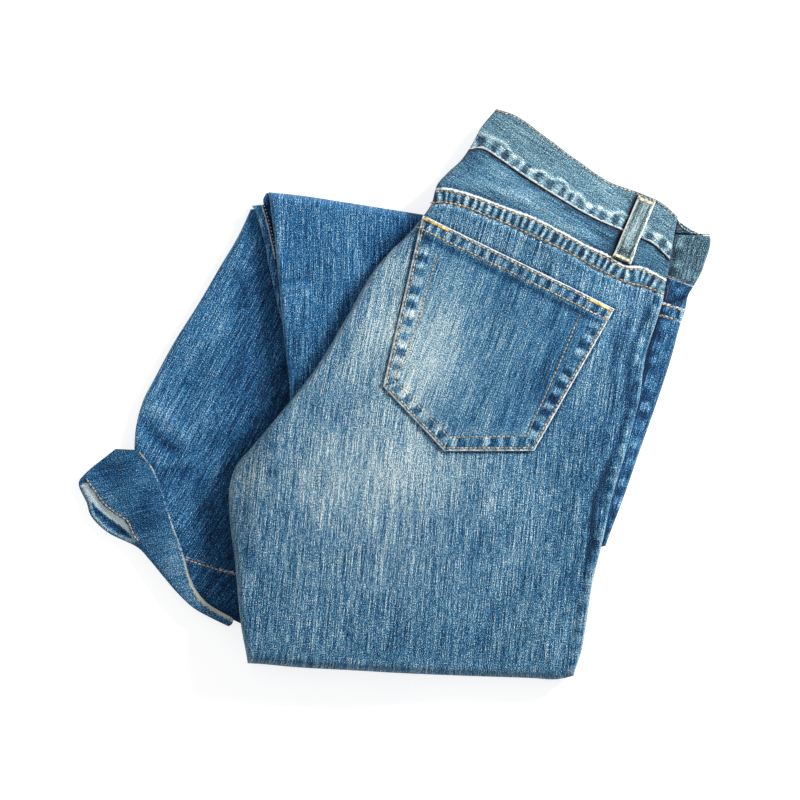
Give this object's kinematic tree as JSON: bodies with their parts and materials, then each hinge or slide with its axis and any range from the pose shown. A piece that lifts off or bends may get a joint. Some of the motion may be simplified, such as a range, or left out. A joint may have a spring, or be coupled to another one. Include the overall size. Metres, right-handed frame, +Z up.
{
  "type": "folded denim trousers",
  "caption": "Faded blue denim trousers, folded in half and then under along the thighs for a shelf, back pocket up.",
  "frame": {"origin": "middle of the bounding box at the surface that the trousers lie on", "axes": "+X to the right of the picture, +Y up the picture from the thigh fold to the waistband, +Z up off the surface"},
  "size_m": [0.4634, 0.418, 0.0316],
  "materials": {
    "seat_denim": "faded mid-blue cotton denim, slubbed, matt",
    "pocket_denim": "faded mid-blue cotton denim with whitened edges",
    "band_denim": "mid-blue cotton denim, double, with roped seams",
    "loop_denim": "worn pale blue-grey cotton denim",
    "middle_leg_denim": "blue cotton denim, matt",
    "lower_leg_denim": "deeper blue cotton denim, matt",
    "hem_turnup_denim": "dark blue cotton denim, worn at the hem edge",
    "left_side_denim": "dark blue cotton denim, matt",
    "hidden_denim": "dark blue cotton denim, matt"
  },
  "bodies": {
    "root": {"lower_legs_inner": "hidden_denim", "right_leg_lower": "lower_leg_denim", "right_leg_hem_turnup": "hem_turnup_denim", "middle_legs_inner": "hidden_denim", "left_leg_middle": "middle_leg_denim", "right_leg_middle": "middle_leg_denim", "seat_inner": "hidden_denim", "right_back_panel": "seat_denim", "right_back_yoke": "seat_denim", "right_back_pocket": "pocket_denim", "waistband_right": "band_denim", "side_belt_loop": "loop_denim", "left_back_panel": "left_side_denim", "left_back_yoke": "left_side_denim", "waistband_left": "band_denim"}
  },
  "joints": []
}
